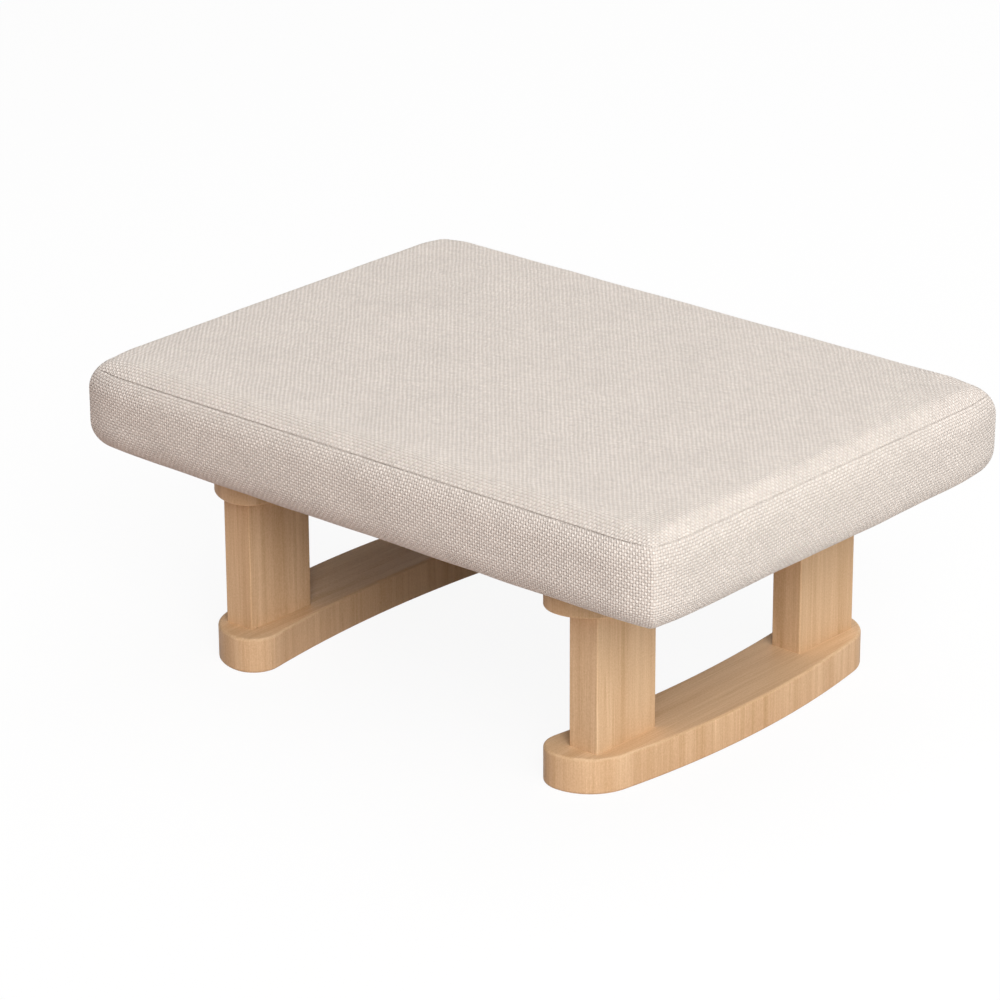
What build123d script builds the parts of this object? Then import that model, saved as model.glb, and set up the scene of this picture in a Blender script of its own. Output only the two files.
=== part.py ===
from build123d import *
import os
from math import sqrt

# A low footstool: a padded seat in a woven cover, bolted to two wooden leg frames.
# Each leg frame is two bowed rails with two short posts between them.
# Frame: X along the seat's length, Y along its depth with the front at -Y, Z up.
# The origin is on the floor, under the middle of the seat. All sizes are in millimetres.

# Seat
SEAT_LENGTH = 410.0
SEAT_DEPTH = 300.0
SEAT_THICKNESS = 54.0          # from the leg frames to the highest point of the crown
SEAT_CROWN = 1.0               # rise of the middle of the top above its edges
SEAT_CORNER_RADIUS = 18.4      # upright corners, in plan
SEAT_TOP_ROUND = 16.8
SEAT_BOTTOM_ROUND = 17.3
ROUND_MARGIN = 1.0             # least radius that the roundings leave of a corner
CROWN_MARGIN = 2.0             # flat strip between the top rounding and the crown
CROWN_ROOT = 5.0               # depth to which the crown is rooted in the block below it

# Cover and padding
COVER_THICKNESS = 1.2
COVER_EASE = 0.3               # room between the cover and the foam
SEAM_DROP = 4.9                # seam line below the edges of the top
SEAM_WIDTH = 1.0
SEAM_DEPTH = 0.5
TURN_UNDER = 24.0              # width of cover lying under the seat board
DUST_COVER_THICKNESS = 0.5
DUST_COVER_SETBACK = 2.0       # from the edge of the seat board

# Seat board
BOARD_THICKNESS = 12.0
BOARD_INSET = 18.0             # from the outside of the seat
BOARD_CORNER_RADIUS = 9.0
BOARD_EASE = 0.3               # between the board's raised middle and the turned cover

# Leg frames
BOTTOM_RAIL_THICKNESS = 20.5
POST_HEIGHT = 78.5
TOP_RAIL_THICKNESS = 17.0
RAIL_SIDE_INSET = 51.7         # seat's end to the outermost point of a rail
RAIL_END_INSET = 27.6          # seat's front or back to the tip of a rail
RAIL_WIDTH = 45.3              # at the middle of its length
RAIL_OUTER_BOW = 13.8          # fall of the outer edge's arc from its middle to the level of the tips
RAIL_INNER_BOW = 10.8
RAIL_TIP_SETBACK = 37.6        # outermost point of a rail to its tips, along X
RAIL_EDGE_ROUND = 1.6
POST_THICKNESS = 19.2          # along X
POST_WIDTH = 47.5              # along Y
POST_SIDE_SETBACK = 19.2       # outermost point of a rail to the outer face of a post
POST_END_SETBACK = 13.2        # tip of a rail to the end face of a post
POST_EDGE_ROUND = 0.8

# Dowels and screws that hold the posts to the rails
DOWEL_DIAMETER = 8.0
DOWEL_LENGTH = 30.0
DOWEL_IN_RAIL = 12.0
DOWEL_SPACING = 28.0
DOWEL_CHAMFER = 1.0
DOWEL_END_GAP = 0.5
SCREW_DIAMETER = 4.0
SCREW_LENGTH = 42.0
SCREW_HEAD_DIAMETER = 8.0
SCREW_HEAD_HEIGHT = 2.4
SCREW_TIP_LENGTH = 4.0
SCREW_TIP_DIAMETER = 0.6
SCREW_RECESS = 3.0             # head below the underside of a bottom rail
SCREW_SINK = 0.4               # head below the top face of a top rail
SCREW_SLOT_LENGTH = 4.0
SCREW_SLOT_WIDTH = 1.0
SCREW_SLOT_DEPTH = 1.3

# Bolts, washers and tee nuts that hold the seat to the leg frames
BOLT_DIAMETER = 6.0
BOLT_SPACING = 80.0            # along a rail
BOLT_HEAD_DIAMETER = 10.5
BOLT_HEAD_HEIGHT = 3.3
BOLT_HEAD_ROUND = 1.2
BOLT_END_GAP = 0.7             # bolt end below the top of the tee nut
HEX_ACROSS_FLATS = 4.0
HEX_DEPTH = 2.0
WASHER_DIAMETER = 16.0
WASHER_THICKNESS = 1.4
TEE_FLANGE_DIAMETER = 19.0
TEE_FLANGE_THICKNESS = 1.5
TEE_BARREL_DIAMETER = 7.8
TEE_BARREL_LENGTH = 8.0
PRONG_COUNT = 4
PRONG_WIDTH = 2.6
PRONG_THICKNESS = 1.0
PRONG_LENGTH = 5.0
PRONG_EDGE = 0.4               # prong to the rim of the flange
FIT_CLEARANCE = 0.05           # radial, round dowels, screws and threads
BOLT_CLEARANCE = 0.25          # radial, where a bolt passes through

# Staples
STAPLE_WIDTH = 10.0
STAPLE_WIRE = 0.7
STAPLE_CROWN = 0.5             # thickness of the flattened crown
STAPLE_LEG = 6.0
STAPLE_PITCH = 36.0
STAPLE_CORNER_GAP = 20.0       # last staple of a row to the corner of the board
COVER_STAPLE_INSET = 13.0      # from the edge of the board
DUST_STAPLE_INSET = 6.0

# Levels and sizes that follow from the values above
POST_BOTTOM = BOTTOM_RAIL_THICKNESS
POST_TOP = POST_BOTTOM + POST_HEIGHT
SEAT_BOTTOM = POST_TOP + TOP_RAIL_THICKNESS
COVER_BOTTOM = SEAT_BOTTOM + DUST_COVER_THICKNESS
BOARD_TOP = COVER_BOTTOM + BOARD_THICKNESS
SEAT_EDGE = SEAT_BOTTOM + SEAT_THICKNESS - SEAT_CROWN
SEAM_HEIGHT = SEAT_EDGE - SEAM_DROP
BOARD_LENGTH = SEAT_LENGTH - 2 * BOARD_INSET
BOARD_DEPTH = SEAT_DEPTH - 2 * BOARD_INSET

RAIL_OUTER_X = SEAT_LENGTH / 2 - RAIL_SIDE_INSET
RAIL_INNER_X = RAIL_OUTER_X - RAIL_WIDTH
RAIL_TIP_Y = SEAT_DEPTH / 2 - RAIL_END_INSET
RAIL_TIP_X = RAIL_OUTER_X - RAIL_TIP_SETBACK
POST_X = RAIL_OUTER_X - POST_SIDE_SETBACK - POST_THICKNESS / 2
POST_Y = RAIL_TIP_Y - POST_END_SETBACK - POST_WIDTH / 2

ON_BASE = (Align.CENTER, Align.CENTER, Align.MIN)


def bow_radius(bow):
    """Radius of an edge whose arc falls back by bow between its middle and the level of the tips."""
    return (RAIL_TIP_Y**2 + bow**2) / (2 * bow)


def bow_x(middle_x, bow, y):
    """X of a bowed edge at y."""
    radius = bow_radius(bow)
    return middle_x - radius + sqrt(radius**2 - y**2)


BOLT_Y = BOLT_SPACING / 2
BOLT_X = (
    bow_x(RAIL_OUTER_X, RAIL_OUTER_BOW, BOLT_Y) + bow_x(RAIL_INNER_X, RAIL_INNER_BOW, BOLT_Y)
) / 2
BOLT_PLACES = [(x, y) for x in (-BOLT_X, BOLT_X) for y in (-BOLT_Y, BOLT_Y)]
POST_PLACES = [(x, y) for x in (-POST_X, POST_X) for y in (-POST_Y, POST_Y)]
DOWEL_PLACES = [(x, y + s * DOWEL_SPACING / 2) for x, y in POST_PLACES for s in (-1, 1)]


def plate(length, depth, corner, low, thickness):
    """A level plate with rounded corners, centred on the Z axis, from low upwards."""
    return extrude(Pos(0, 0, low) * RectangleRounded(length, depth, corner), thickness)


def rod(radius, low, high):
    """An upright cylinder on the Z axis between two heights."""
    return Pos(0, 0, low) * Cylinder(radius, high - low, align=ON_BASE)


def copies(shape, places):
    """The shape at each place, moved in plan only."""
    return [Pos(x, y, 0) * shape for x, y in places]


# Seat

def seat_crown(half_length, half_depth, edge):
    """A crown that is a parabola along X times a parabola along Y, and zero at its border."""
    control = [
        [(x, y, edge + (4 * SEAT_CROWN if x == 0 and y == 0 else 0)) for y in (-half_depth, 0, half_depth)]
        for x in (-half_length, 0, half_length)
    ]
    return extrude(Face.make_bezier_surface(control), CROWN_ROOT, dir=(0, 0, -1))


def seat_form(inset):
    """The outside of the padded seat, drawn in by inset all round."""
    length = SEAT_LENGTH - 2 * inset
    depth = SEAT_DEPTH - 2 * inset
    corner = SEAT_CORNER_RADIUS - inset
    low = COVER_BOTTOM + inset
    edge = SEAT_EDGE - inset
    top_round = min(SEAT_TOP_ROUND - inset, corner - ROUND_MARGIN)
    bottom_round = min(SEAT_BOTTOM_ROUND - inset, corner - ROUND_MARGIN)
    block = plate(length, depth, corner, low, edge - low)
    block = fillet(block.faces().sort_by(Axis.Z)[-1].edges(), top_round)
    block = fillet(block.faces().sort_by(Axis.Z)[0].edges(), bottom_round)
    border = top_round + CROWN_MARGIN
    return block + seat_crown(length / 2 - border, depth / 2 - border, edge)


def seam_groove(outside):
    """The shallow groove all round, where the top panel is sewn to the side band."""
    band = Pos(0, 0, SEAM_HEIGHT) * Box(2 * SEAT_LENGTH, 2 * SEAT_DEPTH, SEAM_WIDTH)
    return (outside - seat_form(SEAM_DEPTH)) & band


def turned_opening(ease):
    """The opening that the turned-under cover leaves below the board, drawn in by ease."""
    return plate(
        BOARD_LENGTH - 2 * (TURN_UNDER + ease),
        BOARD_DEPTH - 2 * (TURN_UNDER + ease),
        BOARD_CORNER_RADIUS,
        COVER_BOTTOM,
        COVER_THICKNESS,
    )


def board_plan(low, high):
    """A block with the seat board's outline between two heights."""
    return plate(BOARD_LENGTH, BOARD_DEPTH, BOARD_CORNER_RADIUS, low, high - low)


def staple(low):
    """One staple with its crown lying at low and its legs up, along X."""
    crown = Pos(0, 0, low) * Box(STAPLE_WIDTH, STAPLE_WIRE, STAPLE_CROWN, align=ON_BASE)
    leg_x = (STAPLE_WIDTH - STAPLE_WIRE) / 2
    leg = Pos(0, 0, low) * Box(STAPLE_WIRE, STAPLE_WIRE, STAPLE_CROWN + STAPLE_LEG, align=ON_BASE)
    return crown + Pos(-leg_x, 0, 0) * leg + Pos(leg_x, 0, 0) * leg


def row_places(span, shift):
    """Even places along a row of staples, about one pitch apart; shift is part of a step."""
    reach = span / 2 - STAPLE_CORNER_GAP - STAPLE_WIDTH / 2
    steps = max(2, round(2 * reach / STAPLE_PITCH))
    step = 2 * reach / steps
    count = steps if shift else steps + 1
    return [-reach + (i + shift) * step for i in range(count)]


def staple_rows(inset, low, shift):
    """Staples in four rows round the underside of the board, inset from its edge."""
    along_x = staple(low)
    along_y = Rot(0, 0, 90) * along_x
    row_y = BOARD_DEPTH / 2 - inset
    row_x = BOARD_LENGTH / 2 - inset
    rows = copies(along_x, [(x, y) for x in row_places(BOARD_LENGTH, shift) for y in (-row_y, row_y)])
    rows += copies(along_y, [(x, y) for y in row_places(BOARD_DEPTH, shift) for x in (-row_x, row_x)])
    return rows


# Fasteners

def tee_nut():
    """A tee nut let into the top of the board: flange above, barrel and prongs below."""
    flange_low = BOARD_TOP - TEE_FLANGE_THICKNESS
    nut = rod(TEE_FLANGE_DIAMETER / 2, flange_low, BOARD_TOP)
    nut += rod(TEE_BARREL_DIAMETER / 2, flange_low - TEE_BARREL_LENGTH, flange_low)
    nut += tee_prongs()
    return nut - rod(BOLT_DIAMETER / 2 + FIT_CLEARANCE, SEAT_BOTTOM, BOARD_TOP)


def tee_prongs():
    """The prongs under the rim of a tee nut's flange."""
    reach = TEE_FLANGE_DIAMETER / 2 - PRONG_EDGE - PRONG_THICKNESS
    flange_low = BOARD_TOP - TEE_FLANGE_THICKNESS
    prong = Pos(reach, 0, flange_low - PRONG_LENGTH) * Box(
        PRONG_THICKNESS, PRONG_WIDTH, PRONG_LENGTH, align=(Align.MIN, Align.CENTER, Align.MIN)
    )
    turn = 360 / PRONG_COUNT
    return [Rot(0, 0, (i + 0.5) * turn) * prong for i in range(PRONG_COUNT)]


def tee_nut_pocket():
    """The stepped hole in the board for a tee nut."""
    flange_low = BOARD_TOP - TEE_FLANGE_THICKNESS
    pocket = rod(TEE_FLANGE_DIAMETER / 2 + FIT_CLEARANCE, flange_low, BOARD_TOP)
    pocket += rod(TEE_BARREL_DIAMETER / 2 + FIT_CLEARANCE, COVER_BOTTOM, flange_low)
    return pocket + tee_prongs()


def leg_bolt():
    """A button-head bolt from below a top rail up into its tee nut, with a hexagon socket."""
    head_top = POST_TOP - WASHER_THICKNESS
    head_low = head_top - BOLT_HEAD_HEIGHT
    head = rod(BOLT_HEAD_DIAMETER / 2, head_low, head_top)
    head = fillet(head.edges().sort_by(Axis.Z)[0], BOLT_HEAD_ROUND)
    bolt = head + rod(BOLT_DIAMETER / 2, head_top, BOARD_TOP - BOLT_END_GAP)
    socket = Pos(0, 0, head_low) * RegularPolygon(HEX_ACROSS_FLATS / 2, 6, major_radius=False)
    return bolt - extrude(socket, HEX_DEPTH)


def leg_washer():
    """The washer between a bolt's head and the underside of a top rail."""
    low = POST_TOP - WASHER_THICKNESS
    hole = rod(BOLT_DIAMETER / 2 + BOLT_CLEARANCE, low, POST_TOP)
    return rod(WASHER_DIAMETER / 2, low, POST_TOP) - hole


def bolt_hole(low, high):
    """A hole that a leg bolt passes through."""
    return rod(BOLT_DIAMETER / 2 + BOLT_CLEARANCE, low, high)


def screw_body(clearance):
    """A countersunk screw standing on its head at height zero, enlarged by a radial clearance."""
    shank = SCREW_DIAMETER / 2 + clearance
    head = Cone(SCREW_HEAD_DIAMETER / 2 + clearance, shank, SCREW_HEAD_HEIGHT, align=ON_BASE)
    tip_low = SCREW_LENGTH - SCREW_TIP_LENGTH
    tip = Pos(0, 0, tip_low) * Cone(
        shank, SCREW_TIP_DIAMETER / 2 + clearance, SCREW_TIP_LENGTH, align=ON_BASE
    )
    return head + rod(shank, SCREW_HEAD_HEIGHT, tip_low) + tip


def post_screw():
    """A countersunk screw with a cross slot, standing on its head at height zero."""
    slot = Box(SCREW_SLOT_LENGTH, SCREW_SLOT_WIDTH, SCREW_SLOT_DEPTH, align=ON_BASE)
    return screw_body(0) - slot - Rot(0, 0, 90) * slot


def dowel():
    """A dowel with chamfered ends, standing at height zero."""
    blank = rod(DOWEL_DIAMETER / 2, 0, DOWEL_LENGTH)
    return chamfer(blank.edges().filter_by(GeomType.CIRCLE), DOWEL_CHAMFER)


BOTTOM_SCREW = Pos(0, 0, SCREW_RECESS)
TOP_SCREW = Pos(0, 0, SEAT_BOTTOM - SCREW_SINK) * Rot(180, 0, 0)
BOTTOM_DOWEL = Pos(0, 0, POST_BOTTOM - DOWEL_IN_RAIL)
TOP_DOWEL = Pos(0, 0, POST_TOP + DOWEL_IN_RAIL) * Rot(180, 0, 0)


def joint_holes():
    """The screw and dowel holes of all posts, in the rails and the posts alike."""
    bore = screw_body(FIT_CLEARANCE)
    head = SCREW_HEAD_DIAMETER / 2 + FIT_CLEARANCE
    screw_holes = [
        BOTTOM_SCREW * bore + rod(head, 0, SCREW_RECESS),
        TOP_SCREW * bore + rod(head, SEAT_BOTTOM - SCREW_SINK, SEAT_BOTTOM),
    ]
    dowel_bore = rod(DOWEL_DIAMETER / 2 + FIT_CLEARANCE, -DOWEL_END_GAP, DOWEL_LENGTH + DOWEL_END_GAP)
    holes = []
    for hole in screw_holes:
        holes += copies(hole, POST_PLACES)
    for place in (BOTTOM_DOWEL, TOP_DOWEL):
        holes += copies(place * dowel_bore, DOWEL_PLACES)
    return holes


# Leg frames

def arc_about(centre, start, end):
    """The shorter arc about a centre from start to end."""
    middle = centre + (start + end - centre * 2).normalized() * (start - centre).length
    return ThreePointArc(start, middle, end)


def rail_plan():
    """Outline of the right-hand rails: two bowed edges, and at each end two arcs that meet at the tip.

    An end arc lies level at the tip and runs smoothly into its bowed edge, which settles its radius.
    """
    outer_radius = bow_radius(RAIL_OUTER_BOW)
    inner_radius = bow_radius(RAIL_INNER_BOW)
    outer_centre = Vector(RAIL_OUTER_X - outer_radius, 0)
    inner_centre = Vector(RAIL_INNER_X - inner_radius, 0)
    tip = Vector(RAIL_TIP_X, RAIL_TIP_Y)
    outer_reach = (tip - outer_centre).length
    inner_reach = (tip - inner_centre).length
    outer_round = (outer_radius**2 - outer_reach**2) / (2 * (outer_radius - RAIL_TIP_Y))
    inner_round = (inner_reach**2 - inner_radius**2) / (2 * (inner_radius + RAIL_TIP_Y))
    outer_corner = tip - Vector(0, outer_round)
    inner_corner = tip - Vector(0, inner_round)
    outer_end = outer_centre + (outer_corner - outer_centre).normalized() * outer_radius
    inner_end = inner_centre + (inner_corner - inner_centre).normalized() * inner_radius
    rear_half = [
        arc_about(outer_centre, Vector(RAIL_OUTER_X, 0), outer_end),
        arc_about(outer_corner, outer_end, tip),
        arc_about(inner_corner, tip, inner_end),
        arc_about(inner_centre, inner_end, Vector(RAIL_INNER_X, 0)),
    ]
    front_half = [mirror(arc, about=Plane.XZ) for arc in rear_half]
    return make_face(rear_half + front_half)


def rail(low, thickness):
    """A right-hand rail with its edges rounded, before its holes."""
    blank = extrude(Pos(0, 0, low) * rail_plan(), thickness)
    level_faces = blank.faces().filter_by(Axis.Z)
    return fillet(level_faces.edges(), RAIL_EDGE_ROUND)


def post():
    """A post with its upright edges rounded, standing on the Z axis, before its holes."""
    blank = Pos(0, 0, POST_BOTTOM) * Box(POST_THICKNESS, POST_WIDTH, POST_HEIGHT, align=ON_BASE)
    return fillet(blank.edges().filter_by(Axis.Z), POST_EDGE_ROUND)


def leg_frames():
    """Rails and posts of both leg frames by name, with their holes."""
    blanks = {}
    for side, sign in (("left", -1), ("right", 1)):
        bottom = rail(0, BOTTOM_RAIL_THICKNESS)
        top = rail(POST_TOP, TOP_RAIL_THICKNESS)
        if sign < 0:
            bottom = mirror(bottom, about=Plane.YZ)
            top = mirror(top, about=Plane.YZ)
        blanks[f"{side}_bottom_rail"] = bottom
        blanks[f"{side}_top_rail"] = top
        blanks[f"{side}_front_post"] = Pos(sign * POST_X, -POST_Y, 0) * post()
        blanks[f"{side}_rear_post"] = Pos(sign * POST_X, POST_Y, 0) * post()
    holes = joint_holes() + copies(bolt_hole(POST_TOP, SEAT_BOTTOM), BOLT_PLACES)
    return {name: blank - holes for name, blank in blanks.items()}


# Assembly

def seat_pieces():
    """Cover, padding, board and dust cover by name, with the staples that hold them."""
    outside = seat_form(0)
    cover = outside - seat_form(COVER_THICKNESS) - seam_groove(outside)
    seam_plane = Plane.XY.offset(SEAM_HEIGHT)
    cover_staples = staple_rows(COVER_STAPLE_INSET, COVER_BOTTOM, 0)
    dust_staples = staple_rows(DUST_STAPLE_INSET, SEAT_BOTTOM, 0.5)
    side_band = split(cover, bisect_by=seam_plane, keep=Keep.BOTTOM) - turned_opening(0)
    board = board_plan(COVER_BOTTOM + COVER_THICKNESS, BOARD_TOP) + turned_opening(BOARD_EASE)
    board -= copies(tee_nut_pocket(), BOLT_PLACES)
    dust_cover = plate(
        BOARD_LENGTH - 2 * DUST_COVER_SETBACK,
        BOARD_DEPTH - 2 * DUST_COVER_SETBACK,
        BOARD_CORNER_RADIUS,
        SEAT_BOTTOM,
        DUST_COVER_THICKNESS,
    )
    return {
        "top_panel": split(cover, bisect_by=seam_plane, keep=Keep.TOP),
        "side_band": side_band - cover_staples - dust_staples,
        "foam_pad": seat_form(COVER_THICKNESS + COVER_EASE) - board_plan(COVER_BOTTOM, BOARD_TOP),
        "seat_board": board - cover_staples - dust_staples,
        "dust_cover": dust_cover - copies(bolt_hole(SEAT_BOTTOM, COVER_BOTTOM), BOLT_PLACES) - dust_staples,
        "cover_staples": Compound(cover_staples),
        "dust_cover_staples": Compound(dust_staples),
    }


def fastener_pieces():
    """Groups of like fasteners by name."""
    screw = post_screw()
    pin = dowel()
    return {
        "tee_nuts": Compound(copies(tee_nut(), BOLT_PLACES)),
        "leg_bolts": Compound(copies(leg_bolt(), BOLT_PLACES)),
        "leg_bolt_washers": Compound(copies(leg_washer(), BOLT_PLACES)),
        "bottom_post_screws": Compound(copies(BOTTOM_SCREW * screw, POST_PLACES)),
        "top_post_screws": Compound(copies(TOP_SCREW * screw, POST_PLACES)),
        "bottom_dowels": Compound(copies(BOTTOM_DOWEL * pin, DOWEL_PLACES)),
        "top_dowels": Compound(copies(TOP_DOWEL * pin, DOWEL_PLACES)),
    }


os.makedirs("parts", exist_ok=True)
for name, shape in {**seat_pieces(), **leg_frames(), **fastener_pieces()}.items():
    export_step(shape, f"parts/{name}.step")
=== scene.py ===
"""Dresses the footstool's frame: woven cover, foam, dust cover, timber, metal and a pale stage."""

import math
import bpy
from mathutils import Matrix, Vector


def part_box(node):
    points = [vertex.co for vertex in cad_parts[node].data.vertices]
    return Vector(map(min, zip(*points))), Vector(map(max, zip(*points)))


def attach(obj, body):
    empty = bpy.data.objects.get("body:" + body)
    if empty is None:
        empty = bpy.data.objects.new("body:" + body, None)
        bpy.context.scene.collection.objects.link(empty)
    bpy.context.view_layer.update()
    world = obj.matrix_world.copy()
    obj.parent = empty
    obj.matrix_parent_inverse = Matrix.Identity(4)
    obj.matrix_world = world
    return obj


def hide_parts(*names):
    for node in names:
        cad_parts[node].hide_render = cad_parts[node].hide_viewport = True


bl_info = {
    "name": "Footstool dressing",
    "version": (1, 0, 0),
    "blender": (4, 5, 0),
    "location": "3D View > Sidebar > Footstool",
    "description": "Builds the footstool's soft pieces and finishes round its packed frame",
    "category": "Object",
}

import bpy
import numpy as np
from bpy.props import FloatProperty, FloatVectorProperty, IntProperty, PointerProperty
from bpy.types import Operator, Panel, PropertyGroup
from mathutils import Matrix, Vector

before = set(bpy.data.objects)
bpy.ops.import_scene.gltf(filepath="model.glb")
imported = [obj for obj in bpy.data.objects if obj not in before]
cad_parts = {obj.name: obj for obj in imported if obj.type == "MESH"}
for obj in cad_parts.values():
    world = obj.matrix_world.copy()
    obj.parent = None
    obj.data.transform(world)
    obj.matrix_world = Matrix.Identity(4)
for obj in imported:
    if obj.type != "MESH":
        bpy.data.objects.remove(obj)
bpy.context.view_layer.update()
BODY = "root"

# Places and sizes read from the frame, in metres
BAND_LOW, BAND_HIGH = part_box("side_band")
DUST_LOW, DUST_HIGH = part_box("dust_cover")
PANEL_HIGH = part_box("top_panel")[1]
BOARD_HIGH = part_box("seat_board")[1]
FOAM_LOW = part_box("foam_pad")[0]
HALF_LENGTH = BAND_HIGH.x
HALF_DEPTH = BAND_HIGH.y

RAILS = ("left_bottom_rail", "left_top_rail", "right_bottom_rail", "right_top_rail")
POSTS = ("left_front_post", "left_rear_post", "right_front_post", "right_rear_post")
PLATED = ("tee_nuts", "leg_bolts", "leg_bolt_washers", "bottom_post_screws", "top_post_screws")
STAPLES = ("cover_staples", "dust_cover_staples")
DOWELS = ("bottom_dowels", "top_dowels")

# Small fixed lengths, in metres
SHARPEST_CORNER = 0.0008
BOARD_CORNER = 0.009
DUST_CORNER = 0.009
PUCKER_PITCH = 0.011
PUCKER_REACH = 0.006
RIPPLE_FADE = 0.02

# Points along the stretches of the cover's profile
TOP_ARC = 12
SIDE_ARC = 10
SIDE_ROWS = 12
BOTTOM_ARC = 12
UNDER_ROWS = 5
STAPLED_ROWS = 3

# Share of the ripple that is left at the seam, and how far it shifts the puckers, in radians
SEAM_RIPPLE = 0.25
PUCKER_DRIFT = 1.7

# Seeds of the uneven fields
RIPPLE_SEED = 11
SAG_SEED = 5

# Timber patterns: millimetres to a metre, and the shift from one piece to the next in millimetres
MILLIMETRES = 1000.0
RAIL_SHIFT = (37.0, 211.0, 19.0)
POST_SHIFT = (53.0, 29.0, 307.0)
DOWEL_SHIFT = (11.0, 7.0, 0.0)

# How the cover behaves as cloth while it swells
CLOTH = {
    "quality": 6,
    "mass": 0.3,
    "tension_stiffness": 40.0,
    "compression_stiffness": 40.0,
    "shear_stiffness": 20.0,
    "bending_stiffness": 2.0,
    "air_damping": 4.0,
    "use_pressure": True,
}


# Settings

def amount(name, description, default, unit="NONE"):
    """A number that a user may change."""
    return FloatProperty(name=name, description=description, default=default, unit=unit)


def length(name, description, default):
    """A length in metres that a user may change."""
    return FloatProperty(name=name, description=description, default=default, unit="LENGTH", precision=5)


def tilt(name, description, degrees):
    """An angle that a user may change, written in degrees."""
    return FloatProperty(name=name, description=description, default=math.radians(degrees), subtype="ANGLE")


def factor(name, description, default):
    """A share from 0 to 1 that a user may change."""
    return FloatProperty(
        name=name, description=description, default=default, subtype="FACTOR", min=0.0, max=1.0
    )


def colour(name, description, default):
    """A linear colour that a user may change."""
    return FloatVectorProperty(
        name=name, description=description, default=default, subtype="COLOR", size=3, min=0.0, max=1.0
    )


class SeatSettings(PropertyGroup):
    corner_radius: length("Corner radius", "Upright corners of the seat, in plan, before they crease", 0.0184)
    crease_radius: length("Crease radius", "Upright corners of the seat up to the seam, in plan", 0.003)
    crease_fade: length("Crease fade", "Way above the seam over which a corner rounds off", 0.012)
    crease_reach: length("Crease reach", "Length over which the sides draw in to a corner", 0.028)
    top_round: length("Top rounding", "Rounding between the top and the sides", 0.0168)
    bottom_round: length("Bottom rounding", "Rounding between the sides and the underside", 0.0173)
    crown: length("Crown", "Rise of the middle of the top above its edges", 0.001)
    puff: length("Puff", "How far the top stands up beside the seam, away from its corners", 0.0018)
    puff_reach: length("Puff reach", "Distance from the seam over which the top stands up", 0.011)
    puff_corner: length("Puff corner", "Distance from a corner over which the top stays down", 0.012)
    puff_fade: length("Puff fade", "Length over which the top comes up beyond that", 0.022)
    seam_angle: tilt("Seam angle", "Place of the seam on the top rounding, from level", 45.0)
    seam_roll: length("Seam roll", "Radius with which each edge turns into the seam", 0.00036)
    seam_calm: factor("Seam calm", "How far the seam closes on the short sides", 0.35)
    calm_start: length("Calm start", "Distance from a corner at which the seam begins to deepen", 0.007)
    calm_reach: length("Calm reach", "Length over which the seam deepens beyond that", 0.014)
    seam_gap: length("Seam gap", "Half the gap between the two sewn edges", 0.00009)
    seam_allowance: length("Seam allowance", "How deep the sewn edges reach into the seam", 0.0036)
    cover_thickness: length("Cover thickness", "Thickness of the woven cover", 0.001)
    turn_under: length("Turn under", "Width of cover lying under the board", 0.012)
    top_swell: length("Top swell", "How far the foam pushes the top panel up", 0.0005)
    side_swell: length("Side swell", "How far the foam pushes the sides out", 0.0007)
    pucker: length("Seam pucker", "Height of the small ripples beside the seam", 0.00012)
    ripple: length("Cover ripple", "Height of the slight unevenness of the cover", 0.00022)
    foam_ease: length("Foam ease", "Room between the cover's outside and the foam", 0.003)
    foam_round: length("Foam rounding", "Rounding of the foam's upper edges", 0.022)
    grid_step: length("Grid step", "Spacing of the cover's mesh", 0.0025)
    cloth_frames: IntProperty(name="Cloth frames", description="Frames of the swelling", default=16, min=1)
    cloth_pressure: amount("Cloth pressure", "Push of the foam on the cover", 4.0)


class WeaveSettings(PropertyGroup):
    pitch_x: length("Pitch along X", "Yarn spacing on the top, along the seat's length", 0.0015)
    pitch_y: length("Pitch along Y", "Yarn spacing on the top, along the seat's depth", 0.0017)
    pitch_round: length("Pitch round", "Yarn spacing round the side band", 0.00155)
    pitch_up: length("Pitch up", "Yarn spacing up the side band", 0.00167)
    pale_yarn: colour("Pale yarn", "Colour of the level yarn", (0.800, 0.742, 0.682))
    taupe_yarn: colour("Taupe yarn", "Colour of the upright yarn", (0.712, 0.638, 0.572))
    # Painted shade: the colour that the gaps between the yarns darken to, standing in for the shade that
    # falls there
    recess: colour("Recess shade", "Colour in the gaps between the yarns", (0.58, 0.48, 0.425))
    relief: length("Yarn relief", "Height of the yarns in the bump", 0.00075)


class TimberSettings(PropertyGroup):
    pale: colour("Pale wood", "Colour of the palest wood", (0.83, 0.60, 0.377))
    dark: colour("Dark wood", "Colour of the darkest bands", (0.55, 0.335, 0.168))
    fleck: colour("Fleck", "Colour of the small dark flecks", (0.22, 0.10, 0.04))
    plywood: colour("Plywood", "Colour of the seat board", (0.62, 0.44, 0.26))


class TrimSettings(PropertyGroup):
    dust_cover: colour("Dust cover", "Colour of the sheet under the seat", (0.022, 0.022, 0.024))
    dust_sag: length("Dust cover sag", "How far the sheet hangs between the leg frames", 0.0012)
    foam: colour("Foam", "Colour of the seat foam", (0.80, 0.74, 0.58))
    plated: colour("Plated steel", "Colour of bolts and screws", (0.62, 0.62, 0.60))
    wire: colour("Staple wire", "Colour of the staples", (0.50, 0.50, 0.50))


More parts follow.
